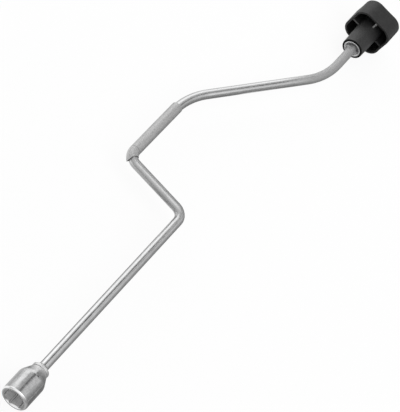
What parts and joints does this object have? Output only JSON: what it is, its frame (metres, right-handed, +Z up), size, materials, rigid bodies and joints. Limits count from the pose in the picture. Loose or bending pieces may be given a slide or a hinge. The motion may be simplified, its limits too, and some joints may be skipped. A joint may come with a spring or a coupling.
{
  "type": "winder handle",
  "caption": "Cranked winder with a hexagon socket at one end, a turning sleeve on its grip and a turning palm knob at the other end.",
  "frame": {"origin": "centre of the hexagon socket's mouth", "axes": "+X along the shank from the mouth to the knob, +Y the way the crank is thrown, +Z up and square to the crank's plane"},
  "size_m": [0.65, 0.1203, 0.0464],
  "materials": {
    "bar_plating": "bright zinc plate with drawn lines",
    "socket_plating": "satin zinc plate",
    "weld_bead": "plated weld, rippled",
    "sleeve_tube": "dull mottled tube",
    "cup_plating": "bright pressed steel",
    "retainer_steel": "blued spring steel",
    "knob_plastic": "fine grained black moulding"
  },
  "bodies": {
    "crank": {"crank_rod": "bar_plating", "hex_socket": "socket_plating", "socket_weld": "weld_bead", "sleeve_stop": "sleeve_tube", "end_washer": "cup_plating", "push_on_retainer": "retainer_steel"},
    "sleeve": {"grip_sleeve": "sleeve_tube"},
    "knob": {"knob_body": "knob_plastic", "hub_cup": "cup_plating", "knob_cap": "knob_plastic"}
  },
  "joints": [
    {"name": "sleeve_spin", "type": "hinge", "parent": "crank", "child": "sleeve", "pos_m": [0.33, 0.07775, 0], "axis": [1, 0, 0], "continuous": true},
    {"name": "knob_spin", "type": "hinge", "parent": "crank", "child": "knob", "pos_m": [0.62, -0.0124, 0], "axis": [1, 0, 0], "continuous": true}
  ]
}
